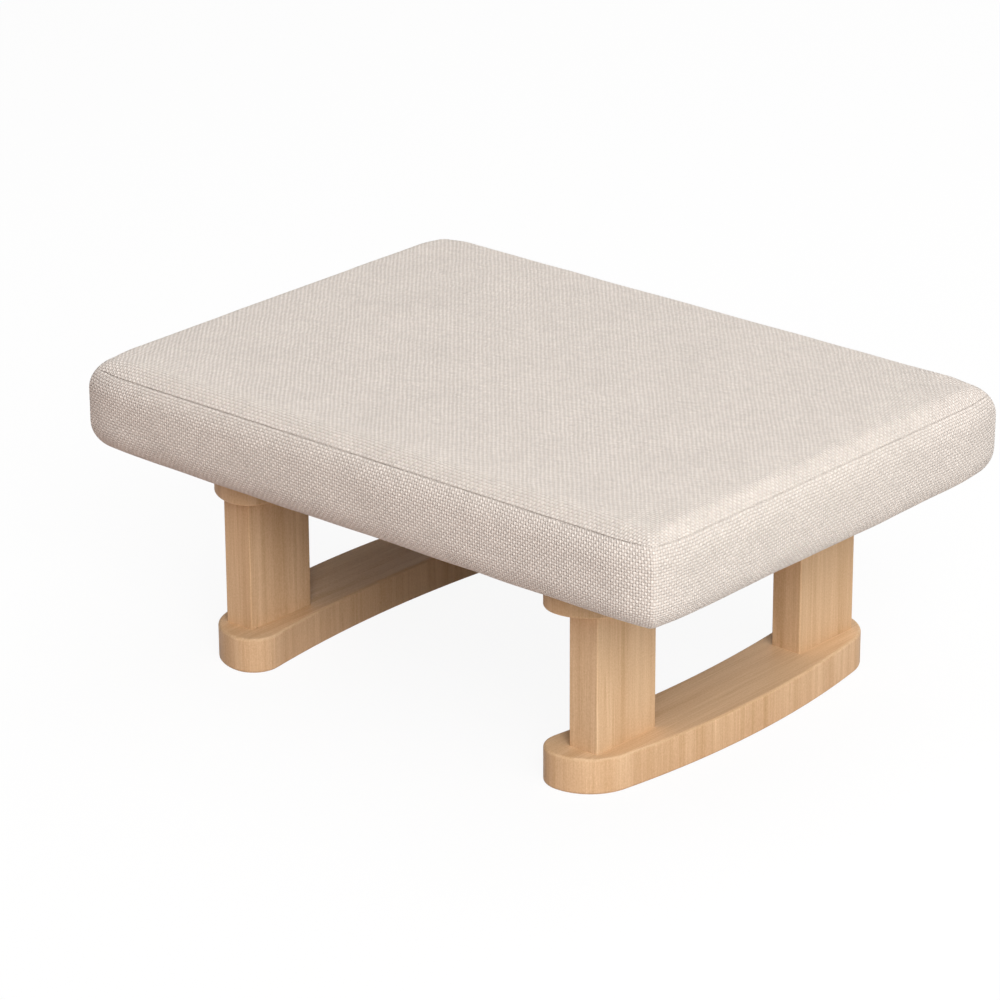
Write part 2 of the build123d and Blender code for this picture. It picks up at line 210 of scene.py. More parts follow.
class StageSettings(PropertyGroup):
    azimuth: tilt("Azimuth", "Camera's turn round the stool", 41.321)
    elevation: tilt("Elevation", "Camera's height angle", 21.920)
    roll: tilt("Roll", "Camera's roll", -0.261)
    distance: length("Distance", "Camera to the middle of the stool", 2.43825)
    lens: amount("Lens", "Focal length in millimetres", 160.226, "CAMERA")
    slide: length("Slide", "Camera's aim to the right of the middle", -0.02116)
    lift: length("Lift", "Camera's aim above the middle", 0.00884)
    middle: length("Middle", "Height that the camera circles", 0.085)
    floor: colour("Floor", "Colour of the floor as it is seen", (0.97, 0.97, 0.97))
    floor_bounce: colour("Floor bounce", "Light that the floor throws back at the left", (0.63, 0.505, 0.465))
    right_bounce: colour("Right bounce", "Light that the floor throws back at the right", (0.86, 0.86, 0.85))
    floor_glow: factor("Floor glow", "Share of plain white in the floor as the camera sees it", 0.92)
    sky: amount("Sky", "Strength of the even light all round", 0.02)
    key: amount("Key lamp", "Power of the lamp at the right", 26.0, "POWER")
    side: amount("Side lamp", "Power of the lamp at the front right", 240.0, "POWER")
    side_tint: colour("Side tint", "Colour of the lamp at the front right", (1.0, 0.958, 0.945))
    top: amount("Top lamp", "Power of the lamp overhead", 33.0, "POWER")
    back: amount("Back lamp", "Power of the lamp behind", 20.0, "POWER")


# Surfaces

def smooth(value):
    """A soft step from 0 to 1 while the value goes from 0 to 1."""
    share = np.clip(value, 0.0, 1.0)
    return share * share * (3 - 2 * share)


class Ring:
    """A closed ring of points round a rectangle, counter-clockwise from the middle of the +X side.

    cx and cy run evenly from -1 to 1 along a side and are fixed round a corner. turn is 0 on the X sides,
    1 on the Y sides, and runs between them round a corner. cap gives each point's place on the border of
    a grid inside the ring. The steps along a side are even in number, so a quarter of the points lies
    between the middles of two neighbouring sides.
    """

    def __init__(self, steps_x, steps_y, steps_arc, reach=1.0):
        self.steps_x, self.steps_y, self.reach = steps_x, steps_y, reach
        tx = np.linspace(-1.0, 1.0, steps_x + 1)
        ty = np.linspace(-1.0, 1.0, steps_y + 1)
        turn = np.linspace(0.0, 1.0, steps_arc + 1)[1:-1]
        one_x, one_y, one_t = np.ones_like(tx), np.ones_like(ty), np.ones_like(turn)
        cx = np.concatenate([one_y, one_t, -tx, -one_t, -one_y, -one_t, tx, one_t])
        cy = np.concatenate([ty, one_t, one_x, one_t, -ty, -one_t, -one_x, -one_t])
        turns = np.concatenate([0 * ty, turn, one_x, 1 - turn, 0 * ty, turn, one_x, 1 - turn])
        self.cx, self.cy, self.turn = (np.roll(values, -(steps_y // 2)) for values in (cx, cy, turns))
        i = np.rint((self.cx + 1) / 2 * steps_x).astype(int)
        j = np.rint((self.cy + 1) / 2 * steps_y).astype(int)
        self.cap = i * (steps_y + 1) + j
        self.count = len(self.cx)

    def rows(self, a, b, r, bow=0.0):
        """X and Y of one ring per row, from columns of half sizes, corner radii and bows.

        Towards a corner each side draws in as bow times the square of the share of the reach that is left,
        so it arrives at an angle, its lean. The corner's arc turns through what the two leans leave.
        """
        a, b, r, bow = (np.atleast_1d(np.asarray(value, float))[:, None] for value in (a, b, r, bow))
        lean = np.arctan(2 * bow / self.reach)
        centre_x = a - bow - r * np.cos(lean)
        centre_y = b - bow - r * np.cos(lean)
        end_x = centre_x + r * np.sin(lean)
        end_y = centre_y + r * np.sin(lean)
        angle = lean + self.turn * (np.pi / 2 - 2 * lean)

        def drawn_in(end, share):
            return bow * np.clip(1 - (1 - np.abs(share)) * end / self.reach, 0, None) ** 2

        on_x, on_y = self.turn == 0, self.turn == 1
        x = np.where(on_x, a - drawn_in(end_y, self.cy), np.where(on_y, end_x, centre_x + r * np.cos(angle)))
        y = np.where(on_y, b - drawn_in(end_x, self.cx), np.where(on_x, end_y, centre_y + r * np.sin(angle)))
        return self.cx * x, self.cy * y

    def along(self, x, y):
        """Distance along each row to each point and back to the first, stretched as the last row asks.

        The steps of each quarter are scaled so that it is as long on every row as on the last one.
        """
        steps = np.hypot(np.roll(x, -1, axis=1) - x, np.roll(y, -1, axis=1) - y)
        quarters = steps.reshape(len(x), 4, -1)
        whole = quarters.sum(axis=2, keepdims=True)
        evened = (quarters * (whole[-1] / whole)).reshape(steps.shape)
        return np.concatenate([np.zeros((len(x), 1)), np.cumsum(evened, axis=1)], axis=1)

    def grid(self, a, b):
        """X and Y of the grid inside a ring with square corners."""
        tx = np.linspace(-1.0, 1.0, self.steps_x + 1)
        ty = np.linspace(-1.0, 1.0, self.steps_y + 1)
        x, y = np.meshgrid(a * tx, b * ty, indexing="ij")
        return x.ravel(), y.ravel()

    def band_faces(self, rows):
        """Quads between neighbouring rows, facing out where the rows climb."""
        index = np.arange(rows * self.count).reshape(rows, self.count)
        ahead = np.roll(index, -1, axis=1)
        return np.stack([index[:-1], ahead[:-1], ahead[1:], index[1:]], axis=-1).reshape(-1, 4)

    def cap_faces(self, row_start, grid_start, facing_up=True):
        """Faces of the grid inside a ring, and the quads and triangles that join it to that ring."""
        cells = np.arange((self.steps_x + 1) * (self.steps_y + 1)).reshape(self.steps_x + 1, -1) + grid_start
        quads = np.stack([cells[:-1, :-1], cells[1:, :-1], cells[1:, 1:], cells[:-1, 1:]], axis=-1)
        ring = np.arange(self.count) + row_start
        ahead = np.roll(ring, -1)
        border = self.cap + grid_start
        border_ahead = np.roll(border, -1)
        joins = np.stack([ring, ahead, border_ahead, border], axis=-1)
        corner = border == border_ahead
        fans = joins[corner][:, :3]
        quads = np.concatenate([quads.reshape(-1, 4), joins[~corner]])
        if not facing_up:
            quads, fans = quads[:, ::-1], fans[:, ::-1]
        return quads, fans


def mesh_piece(name, points, quads, fans, material, corner_uv=None):
    """A smooth mesh object at the origin from arrays of points, quads and triangles."""
    mesh = bpy.data.meshes.new(name)
    mesh.from_pydata(points.tolist(), [], quads.tolist() + fans.tolist())
    mesh.polygons.foreach_set("use_smooth", np.ones(len(mesh.polygons), bool))
    if corner_uv is not None:
        layer = mesh.uv_layers.new(name="Yarns")
        layer.data.foreach_set("uv", corner_uv.astype(np.float32).ravel())
    mesh.materials.append(material)
    mesh.update()
    piece = bpy.data.objects.new(name, mesh)
    bpy.context.scene.collection.objects.link(piece)
    return piece


def corners_of(point_uv, quads, fans):
    """One UV per face corner from one UV per point."""
    return np.concatenate([point_uv[quads].reshape(-1, 2), point_uv[fans].reshape(-1, 2)])


def no_fans():
    """Faces of a piece that has no triangles."""
    return np.zeros((0, 3), int)


def stacked(*stretches):
    """X, Y and Z of all points, from stretches that each give three arrays of one shape or single values."""
    return np.concatenate([np.stack(np.broadcast_arrays(*s)).reshape(3, -1) for s in stretches], axis=1)


def soft_noise(x, y, seed, waves=28, longest=0.14, shortest=0.03):
    """A smooth uneven field between about -1 and 1: a sum of sine waves of mixed lengths and headings."""
    draw = np.random.default_rng(seed)
    number = 2 * np.pi / draw.uniform(shortest, longest, waves)
    heading = draw.uniform(0, 2 * np.pi, waves)
    phase = draw.uniform(0, 2 * np.pi, waves)
    arg = (
        x[..., None] * (number * np.cos(heading))
        + y[..., None] * (number * np.sin(heading))
        + phase
    )
    return np.sin(arg).sum(axis=-1) / math.sqrt(waves)


def points_of(mesh):
    """A mesh's points as an array."""
    points = np.empty(len(mesh.vertices) * 3, np.float32)
    mesh.vertices.foreach_get("co", points)
    return points.reshape(-1, 3)


def point_normals(mesh):
    """A mesh's point normals as an array."""
    normals = np.empty(len(mesh.vertices) * 3, np.float32)
    mesh.vertex_normals.foreach_get("vector", normals)
    return normals.reshape(-1, 3)


def push(piece, moves):
    """Adds an array of moves to the piece's points."""
    moved = points_of(piece.data) + moves.astype(np.float32)
    piece.data.vertices.foreach_set("co", moved.ravel())
    piece.data.update()


def swell(piece, held, reach, settings):
    """Lets the foam swell a cover panel: cloth under pressure, held where it is sewn or stapled.

    The cloth gives the shape of the swelling, which is then scaled so that its largest move is reach.
    """
    group = piece.vertex_groups.new(name="held")
    group.add(held.tolist(), 1.0, "REPLACE")
    cloth = piece.modifiers.new("Swelling", "CLOTH")
    for name, value in CLOTH.items():
        setattr(cloth.settings, name, value)
    cloth.settings.uniform_pressure_force = settings.cloth_pressure
    cloth.settings.effector_weights.gravity = 0.0
    cloth.settings.vertex_group_mass = group.name
    cloth.collision_settings.use_collision = False
    cloth.point_cache.frame_end = settings.cloth_frames
    scene = bpy.context.scene
    for step in range(1, settings.cloth_frames + 1):
        scene.frame_set(step)
    result = piece.evaluated_get(bpy.context.evaluated_depsgraph_get()).to_mesh()
    moves = points_of(result) - points_of(piece.data)
    piece.modifiers.remove(cloth)
    scene.frame_set(1)
    largest = float(np.linalg.norm(moves, axis=1).max())
    if not math.isfinite(largest) or largest <= 0.0:
        raise RuntimeError(f"{piece.name}: the cloth did not swell")
    push(piece, moves * (reach / largest))
    piece.vertex_groups.remove(group)


def thicken(piece, thickness):
    """Gives a sheet its thickness, inwards from the surface that shows."""
    wall = piece.modifiers.new("Thickness", "SOLIDIFY")
    wall.thickness = thickness
    wall.offset = -1.0
    wall.use_even_offset = False


# Shader helpers

class Tree:
    """Adds and links shader nodes in one node tree."""

    # Slots of a Mix node for each kind of value: first, second and result
    MIX_SLOTS = {"FLOAT": (2, 3, 0), "VECTOR": (4, 5, 1), "RGBA": (6, 7, 2)}

    def __init__(self, tree):
        self.nodes, self.links = tree.nodes, tree.links

    def put(self, socket, value):
        """Links the value if it is a socket, and sets it if it is a constant."""
        if isinstance(value, bpy.types.NodeSocket):
            self.links.new(value, socket)
        else:
            socket.default_value = value

    def node(self, kind, inputs=None, **settings):
        made = self.nodes.new(kind)
        for name, value in settings.items():
            setattr(made, name, value)
        for name, value in (inputs or {}).items():
            self.put(made.inputs[name], value)
        return made

    def math(self, operation, first, second=None):
        made = self.node("ShaderNodeMath", operation=operation)
        self.put(made.inputs[0], first)
        if second is not None:
            self.put(made.inputs[1], second)
        return made.outputs[0]

    def add(self, first, second):
        return self.math("ADD", first, second)

    def times(self, first, second):
        return self.math("MULTIPLY", first, second)

    def spread(self, value, low, high, to_low=0.0, to_high=1.0):
        """Carries low to high over to to_low to to_high, and holds the ends."""
        made = self.node("ShaderNodeMapRange", clamp=True)
        for slot, item in enumerate((value, low, high, to_low, to_high)):
            self.put(made.inputs[slot], item)
        return made.outputs[0]

    def mix(self, share, first, second, kind="RGBA", blend="MIX"):
        made = self.node("ShaderNodeMix", data_type=kind, blend_type=blend)
        first_slot, second_slot, result = self.MIX_SLOTS[kind]
        for slot, item in ((0, share), (first_slot, first), (second_slot, second)):
            self.put(made.inputs[slot], item)
        return made.outputs[result]

    def mix_shader(self, share, first, second):
        made = self.node("ShaderNodeMixShader")
        for slot, item in enumerate((share, first, second)):
            self.put(made.inputs[slot], item)
        return made.outputs[0]

    def vector(self, x, y, z):
        return self.node("ShaderNodeCombineXYZ", {"X": x, "Y": y, "Z": z}).outputs[0]

    def parts(self, vector):
        made = self.node("ShaderNodeSeparateXYZ", {"Vector": vector})
        return made.outputs[0], made.outputs[1], made.outputs[2]

    def noise(self, vector, scale, detail=2.0, roughness=0.5):
        made = self.node(
            "ShaderNodeTexNoise",
            {"Vector": vector, "Scale": scale, "Detail": detail, "Roughness": roughness},
        )
        return made.outputs[0]

    def mapping(self, vector, location=(0, 0, 0), scale=(1, 1, 1)):
        made = self.node("ShaderNodeMapping", {"Vector": vector, "Location": location, "Scale": scale})
        return made.outputs[0]

    def object_coordinates(self):
        return self.node("ShaderNodeTexCoord").outputs["Object"]


def new_group(name, inputs):
    """A shader node group with named inputs that puts out a colour, a height and a roughness.

    Gives the group, its tree, its inputs and the sockets of its output node.
    """
    group = bpy.data.node_groups.new(name, "ShaderNodeTree")
    outputs = {"Color": "Color", "Height": "Float", "Roughness": "Float"}
    for way, sockets in (("INPUT", inputs), ("OUTPUT", outputs)):
        for socket, kind in sockets.items():
            group.interface.new_socket(socket, in_out=way, socket_type=f"NodeSocket{kind}")
    tree = Tree(group)
    return group, tree, tree.node("NodeGroupInput").outputs, tree.node("NodeGroupOutput").inputs


def rgba(values):
    return (*values, 1.0)


def new_material(name, **sockets):
    """A material with a Principled surface and the given constant sockets; gives its tree and surface."""
    made = bpy.data.materials.new(name)
    made.use_nodes = True
    tree = Tree(made.node_tree)
    surface = made.node_tree.nodes["Principled BSDF"]
    for socket, value in sockets.items():
        surface.inputs[socket.replace("_", " ")].default_value = value
    return made, tree, surface


def dress(tree, surface, tone, roughness, height, distance, strength=1.0):
    """Feeds a colour, a roughness and a bump of that height into the surface."""
    made = tree.node("ShaderNodeBump", {"Height": height, "Distance": distance, "Strength": strength})
    tree.put(surface.inputs["Base Color"], tone)
    tree.put(surface.inputs["Roughness"], roughness)
    tree.put(surface.inputs["Normal"], made.outputs[0])


# Shared effects

def weave_group(name):
    """Plain weave in yarn counts: U counts the yarns that run along V, V those that run along U.

    Each yarn rises and falls as a sine over its neighbours and is round across, and the higher one shows.
    Slubs make a yarn thicker and paler in places, and each crossing has a slightly different tone.
    Where the yarns lie low, in the gaps between them, the colour darkens towards the recess colour: painted
    shade.
    """
    group, tree, given, put = new_group(
        name, {"Yarns": "Vector", "Pale": "Color", "Taupe": "Color", "Recess shade": "Color"}
    )
    u0, v0, _ = tree.parts(given["Yarns"])
    drift = tree.noise(tree.mapping(given["Yarns"], scale=(0.09, 0.09, 0.0)), 1.0, 2.0)
    drift = tree.times(tree.math("SUBTRACT", drift, 0.5), 0.9)
    u, v = tree.add(u0, drift), tree.add(v0, drift)
    column, row = tree.math("FLOOR", u), tree.math("FLOOR", v)

    def across(count, width):
        offset = tree.times(tree.math("SUBTRACT", tree.math("FRACT", count), 0.5), 2.0 / width)
        inside = tree.math("SUBTRACT", 1.0, tree.times(offset, offset))
        return tree.math("SQRT", tree.math("MAXIMUM", inside, 0.0))

    def over(count, other):
        return tree.math("SINE", tree.times(tree.add(count, other), math.pi))

    def slub(along, number):
        return tree.noise(tree.vector(tree.times(along, 0.16), tree.times(number, 2.37), 0.0), 1.0, 2.0, 0.6)

    upright_width, upright_swing, upright_round, upright_sunk = 0.90, 0.34, 0.42, 0.12
    level_width, level_swing, level_round, slub_rise = 0.96, -0.5, 0.5, 0.5
    overlap = 0.12
    pale_slub, taupe_slub = slub(u, row), slub(v, column)
    upright = tree.add(
        tree.times(over(v, column), upright_swing), tree.times(across(u, upright_width), upright_round)
    )
    upright = tree.math("SUBTRACT", upright, upright_sunk)
    level = tree.add(tree.times(over(u, row), level_swing), tree.times(across(v, level_width), level_round))
    level = tree.add(level, tree.times(tree.math("SUBTRACT", pale_slub, 0.5), slub_rise))
    height = tree.math("MAXIMUM", upright, level)
    pale = tree.spread(tree.math("SUBTRACT", level, upright), -overlap, overlap)
    cloth = tree.mix(pale, given["Taupe"], given["Pale"])
    # Painted shade: the lower the yarns, the nearer the colour comes to the recess colour, so the gaps
    # between them are darkest
    cloth = tree.mix(tree.spread(height, -0.20, 0.45, 1.0, 0.0), cloth, given["Recess shade"])
    chance = tree.node("ShaderNodeTexWhiteNoise", {"Vector": tree.vector(column, row, 0.0)})
    crossing = chance.outputs["Value"]
    mottle = tree.noise(tree.mapping(given["Yarns"], scale=(0.035, 0.035, 0.0)), 1.0, 3.0, 0.6)
    tone = tree.times(
        tree.spread(mottle, 0.25, 0.75, 0.97, 1.03),
        tree.times(
            tree.spread(tree.mix(pale, taupe_slub, pale_slub, "FLOAT"), 0.25, 0.75, 0.93, 1.07),
            tree.spread(crossing, 0.0, 1.0, 0.95, 1.05),
        ),
    )
    tree.put(put["Color"], tree.mix(1.0, cloth, tone, blend="MULTIPLY"))
    tree.put(put["Height"], height)
    tree.put(put["Roughness"], tree.spread(height, -0.2, 0.9, 0.96, 0.82))
    return group


def timber_group(name):
    """Straight grain: noise drawn out along the grain at several widths, with few thin lines and flecks.

    Grain is a position whose Y runs along the grain and X and Z across it, in millimetres. A thin line
    shows where a noise crosses a level, and only inside patches of a broader noise.
    """
    group, tree, given, put = new_group(
        name, {"Grain": "Vector", "Pale": "Color", "Dark": "Color", "Fleck": "Color", "Lines": "Float"}
    )
    grain = given["Grain"]

    def drawn(across, along, detail=2.0, roughness=0.5):
        return tree.noise(tree.mapping(grain, scale=(across, along, across)), 1.0, detail, roughness)

    def weighed(value, weight):
        return tree.times(tree.math("SUBTRACT", value, 0.5), weight)

    def crossing(value, level, width):
        away = tree.math("ABSOLUTE", tree.math("SUBTRACT", value, level))
        return tree.spread(away, 0.0, width, 1.0, 0.0)

    broad = drawn(0.045, 0.003)
    bands = drawn(0.20, 0.005)
    narrow = drawn(0.75, 0.006)
    fibres = drawn(2.3, 0.05)
    speckle = drawn(1.3, 0.9, 3.0, 0.65)
    patches = tree.spread(drawn(0.10, 0.004), 0.46, 0.60)
    lines = drawn(0.33, 0.003, 0.0)
    dark_line = tree.times(crossing(lines, 0.43, 0.022), patches)
    pale_line = tree.times(crossing(lines, 0.55, 0.018), patches)
    share = tree.add(0.44, tree.add(weighed(broad, 0.9), weighed(bands, 0.75)))
    fine = tree.add(weighed(fibres, 0.55), weighed(speckle, 0.95))
    share = tree.add(share, tree.add(weighed(narrow, 0.5), fine))
    share = tree.add(share, tree.times(tree.math("SUBTRACT", dark_line, pale_line), given["Lines"]))
    wood = tree.mix(tree.math("MINIMUM", tree.math("MAXIMUM", share, 0.0), 1.0), given["Pale"], given["Dark"])
    spots = tree.node("ShaderNodeTexVoronoi", {"Vector": grain, "Scale": 0.032})
    fleck = tree.spread(spots.outputs["Distance"], 0.012, 0.028, 0.7, 0.0)
    tree.put(put["Color"], tree.mix(fleck, wood, given["Fleck"]))
    tree.put(put["Height"], tree.add(fibres, tree.times(narrow, 0.5)))
    tree.put(put["Roughness"], tree.spread(bands, 0.3, 0.7, 0.40, 0.50))
    return group


def plated_group(name):
    """Fine uneven mottling for plated metal and wire: two sizes of noise."""
    group, tree, given, put = new_group(name, {"Place": "Vector", "Base": "Color"})
    coarse = tree.noise(given["Place"], scale=260.0, detail=3.0, roughness=0.6)
    fine = tree.noise(given["Place"], scale=2400.0)
    dark = tree.mix(1.0, given["Base"], (0.72, 0.70, 0.66, 1.0), blend="MULTIPLY")
    tree.put(put["Color"], tree.mix(tree.spread(coarse, 0.35, 0.7), given["Base"], dark))
    tree.put(put["Roughness"], tree.spread(coarse, 0.3, 0.7, 0.28, 0.46))
    tree.put(put["Height"], fine)
    return group


def placed(tree, name, build, inputs):
    """Places the node group of that name, which is built once, and sets or links its inputs."""
    group = bpy.data.node_groups.get(name) or build(name)
    return tree.node("ShaderNodeGroup", inputs, node_tree=group).outputs


def grained(tree, grain, timber, pale, lines):
    """Places the timber grain in the timber's colours, with its palest one given."""
    return placed(
        tree, "Timber grain", timber_group,
        {"Grain": grain, "Pale": rgba(pale), "Dark": rgba(timber.dark), "Fleck": rgba(timber.fleck),
         "Lines": lines},
    )


def in_millimetres(tree, shift=(0.0, 0.0, 0.0)):
    """X, Y and Z of the place on the object in millimetres, moved by shift."""
    scale = (MILLIMETRES, MILLIMETRES, MILLIMETRES)
    return tree.parts(tree.mapping(tree.object_coordinates(), location=shift, scale=scale))


# Materials

def cover_material(weave):
    """Matt plain weave of pale and taupe yarns, with painted shade in the gaps between them, on the cover's
    own yarn counts.
    """
    made, tree, surface = new_material(
        "cover_weave", Sheen_Weight=0.12, Sheen_Roughness=0.5, Specular_IOR_Level=0.2
    )
    yarns = tree.node("ShaderNodeUVMap", uv_map="Yarns").outputs[0]
    cloth = placed(
        tree, "Plain weave", weave_group,
        {"Yarns": yarns, "Pale": rgba(weave.pale_yarn), "Taupe": rgba(weave.taupe_yarn),
         "Recess shade": rgba(weave.recess)},
    )
    dress(tree, surface, cloth["Color"], cloth["Roughness"], cloth["Height"], weave.relief)
    return made


def timber_material(name, timber, shift, upright):
    """Satin timber with its grain along Z; where it isn't upright, the level faces show it along Y.

    shift moves the pattern, in millimetres, so that no two pieces look cut from the same place.
    """
    made, tree, surface = new_material(
        name, Coat_Weight=0.02, Coat_Roughness=0.25, Specular_IOR_Level=0.07
    )
    x, y, z = in_millimetres(tree, shift)
    grain = tree.vector(x, z, y)
    if not upright:
        normal = tree.node("ShaderNodeNewGeometry").outputs["Normal"]
        level = tree.math("GREATER_THAN", tree.math("ABSOLUTE", tree.parts(normal)[2]), 0.6)
        grain = tree.mix(level, grain, tree.vector(x, y, z), "VECTOR")
    wood = grained(tree, grain, timber, timber.pale, lines=0.3)
    dress(tree, surface, wood["Color"], wood["Roughness"], wood["Height"], distance=0.00008, strength=0.6)
    return made


def plywood_material(timber):
    """Bare plywood: grain along X on its faces, and thin layers of two tones up its edges."""
    made, tree, surface = new_material("plywood_board", Specular_IOR_Level=0.3)
    layer_pair, layer_depth = 3.4, 0.45
    x, y, z = in_millimetres(tree)
    wood = grained(tree, tree.vector(y, x, z), timber, timber.plywood, lines=0.4)
    layer = tree.math("FRACT", tree.math("DIVIDE", z, layer_pair))
    layers = tree.times(tree.math("GREATER_THAN", layer, 0.5), layer_depth)
    tone = tree.mix(layers, wood["Color"], rgba(timber.dark))
    roughness = tree.spread(wood["Height"], 0.0, 0.6, 0.8, 0.65)
    dress(tree, surface, tone, roughness, wood["Height"], distance=0.0001, strength=0.7)
    return made


def dust_material(trim):
    """Matt black non-woven sheet: pressed fibres over a faint grid of dimples."""
    made, tree, surface = new_material("dust_sheet", Specular_IOR_Level=0.25, Sheen_Weight=0.1)
    place = tree.object_coordinates()
    fibre = tree.noise(tree.mapping(place, scale=(900.0, 500.0, 900.0)), 1.0, 3.0, 0.7)
    dimple = tree.node("ShaderNodeTexVoronoi", {"Vector": place, "Scale": 700.0}).outputs["Distance"]
    base = rgba(trim.dust_cover)
    light = tuple(2.6 * value for value in trim.dust_cover) + (1.0,)
    tone = tree.mix(tree.spread(fibre, 0.4, 0.72), base, light)
    height = tree.add(fibre, tree.times(dimple, 0.6))
    dress(tree, surface, tone, tree.spread(fibre, 0.3, 0.7, 0.95, 0.75), height, distance=0.00025)
    return made


def foam_material(trim):
    """Open-cell seat foam: small pits and a slight yellowing."""
    made, tree, surface = new_material("seat_foam", Specular_IOR_Level=0.2)
    place = tree.object_coordinates()
    cells = tree.node("ShaderNodeTexVoronoi", {"Vector": place, "Scale": 1100.0}).outputs["Distance"]
    age = tree.noise(place, scale=18.0, detail=3.0)
    aged = tree.mix(1.0, rgba(trim.foam), (0.92, 0.86, 0.70, 1.0), blend="MULTIPLY")
    tone = tree.mix(tree.spread(age, 0.35, 0.7), rgba(trim.foam), aged)
    dress(tree, surface, tone, tree.spread(cells, 0.0, 0.7, 0.85, 1.0), cells, distance=0.0005)
    return made


def metal_material(name, base):
    """Plated steel or wire with a mottled sheen."""
    made, tree, surface = new_material(name, Metallic=1.0)
    inputs = {"Place": tree.object_coordinates(), "Base": rgba(base)}
    metal = placed(tree, "Plated mottle", plated_group, inputs)
    dress(tree, surface, metal["Color"], metal["Roughness"], metal["Height"], distance=0.00002)
    return made


def finish_nodes(names, material):
    """Gives CAD nodes their material."""
    for name in names:
        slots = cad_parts[name].data.materials
        slots.clear()
        slots.append(material)


# Cover

def cover_ring(seat):
    """The ring that the cover's rows follow, at the chosen mesh spacing."""
    steps_x = 2 * round((HALF_LENGTH - seat.corner_radius) / seat.grid_step)
    steps_y = 2 * round((HALF_DEPTH - seat.corner_radius) / seat.grid_step)
    return Ring(steps_x, steps_y, steps_arc=12, reach=seat.crease_reach)


def edge_level(seat):
    """Height of the edges of the top, below the crown."""
    return PANEL_HIGH.z - seat.crown


def on_top_round(seat, along, depth):
    """Inset and height of points on the top rounding.

    along runs down the rounding from the seam, and depth goes in square to the surface: the point lies at
    radius top_round - depth round the rounding's centre, at the seam's angle plus along over the radius.
    """
    angle = seat.seam_angle + np.asarray(along) / seat.top_round
    radius = seat.top_round - np.asarray(depth)
    inset = seat.top_round - radius * np.sin(angle)
    height = edge_level(seat) - seat.top_round + radius * np.cos(angle)
    return inset, height


def rolled_edge(seat, steps=7):
    """Along and depth of an edge that rolls into the seam: straight in, then a quarter turn out."""
    turn = np.linspace(np.pi / 2, 0.0, steps)
    along = seat.seam_gap + seat.seam_roll * (1 - np.sin(turn))
    depth = seat.seam_roll * (1 - np.cos(turn))
    return np.concatenate([[seat.seam_gap], along]), np.concatenate([[seat.seam_allowance], depth])


def closed_edge(along, depth):
    """Along and depth of the same edge where the seam is closed: no gap, and flush but for its sewn end."""
    return along - along[0], np.concatenate([depth[:1], 0 * depth[1:]])


def seam_profiles(seat, along, depth, arc, way):
    """Inset and height of a panel's rows from its rolled edge on, with the seam open and with it closed.

    along and depth are the rolled edge's, and arc goes on along the rounding. way is 1 down it and -1 up.
    """
    return [
        on_top_round(seat, way * np.concatenate([edge, arc]), np.concatenate([sunk, 0 * arc]))
        for edge, sunk in ((along, depth), closed_edge(along, depth))
    ]


def corner_radii(seat, inset):
    """Corner radius of each row: the seat's corner less the inset, and never quite sharp."""
    return np.maximum(seat.corner_radius - inset, SHARPEST_CORNER)


def creased_corners(seat, inset, above_seam):
    """Corner radius and bow of each row of the cover.

    Up to the seam the radius is the crease's, and above it goes back softly to the plain one. The bow
    takes in what the smaller radius would add to the corner, 1 less the root of a half times the change.
    """
    plain = corner_radii(seat, inset)
    sharp = 1 - smooth(np.asarray(above_seam) / seat.crease_fade)
    radius = np.minimum(plain, plain + (seat.crease_radius - plain) * sharp)
    return radius, (1 - math.sqrt(0.5)) * (plain - radius)


def cover_rows(seat, ring, profiles, above_seam):
    """X, Y and Z of the cover's rows: the open profile, which goes over into the closed one at the corners.

    Both hold the inset and the height of each row. The share of the closed one is 1 at a corner and falls
    by a soft step to 0 on the long sides and to seam_calm on the short ones.
    """
    deep, calm = (
        np.stack([
            *ring.rows(HALF_LENGTH - inset, HALF_DEPTH - inset, *creased_corners(seat, inset, above_seam)),
            np.repeat(height[:, None], ring.count, axis=1),
        ])
        for inset, height in profiles
    )
    from_corner = np.maximum(HALF_LENGTH - np.abs(deep[0]), HALF_DEPTH - np.abs(deep[1]))
    away = smooth((from_corner - seat.calm_start) / seat.calm_reach)
    share = 1 - away * (1 - seat.seam_calm * (1 - ring.turn))
    return deep + (calm - deep) * share


def path_lengths(inset, height):
    """Distance along a profile from its first point."""
    return np.concatenate([[0.0], np.cumsum(np.hypot(np.diff(inset), np.diff(height)))])


def crown_rise(seat, x, y):
    """Parabola along X times parabola along Y, zero at the top rounding."""
    a = HALF_LENGTH - seat.top_round
    b = HALF_DEPTH - seat.top_round
    return seat.crown * np.clip(1 - (x / a) ** 2, 0, 1) * np.clip(1 - (y / b) ** 2, 0, 1)


def puff_rise(seat, x, y, from_seam):
    """How far the top stands up: a soft step away from the seam times a soft step away from the corners."""
    from_corner = np.maximum(HALF_LENGTH - np.abs(x), HALF_DEPTH - np.abs(y))
    along_edge = smooth((from_corner - seat.puff_corner) / seat.puff_fade)
    return seat.puff * smooth(from_seam / seat.puff_reach) * along_edge


def uneven(piece, seat, seam_distance, around, edge, beside):
    """Adds the cover's slight unevenness, and small puckers that fade away from the seam.

    The points of the rolled edge move with those of the row beside it, so both sewn edges stay together.
    """
    points = points_of(piece.data)
    wave = soft_noise(points[:, 0] + points[:, 2], points[:, 1] - points[:, 2], RIPPLE_SEED)
    fade = np.clip(seam_distance / RIPPLE_FADE, 0.0, 1.0)
    phase = 2 * np.pi * around / PUCKER_PITCH + PUCKER_DRIFT * wave
    gather = np.sin(phase) * np.exp(-((seam_distance / PUCKER_REACH) ** 2))
    lift = seat.ripple * wave * (SEAM_RIPPLE + (1 - SEAM_RIPPLE) * fade) + seat.pucker * gather
    moves = point_normals(piece.data) * lift[:, None]
    moves[edge] = moves[beside]
    push(piece, moves)


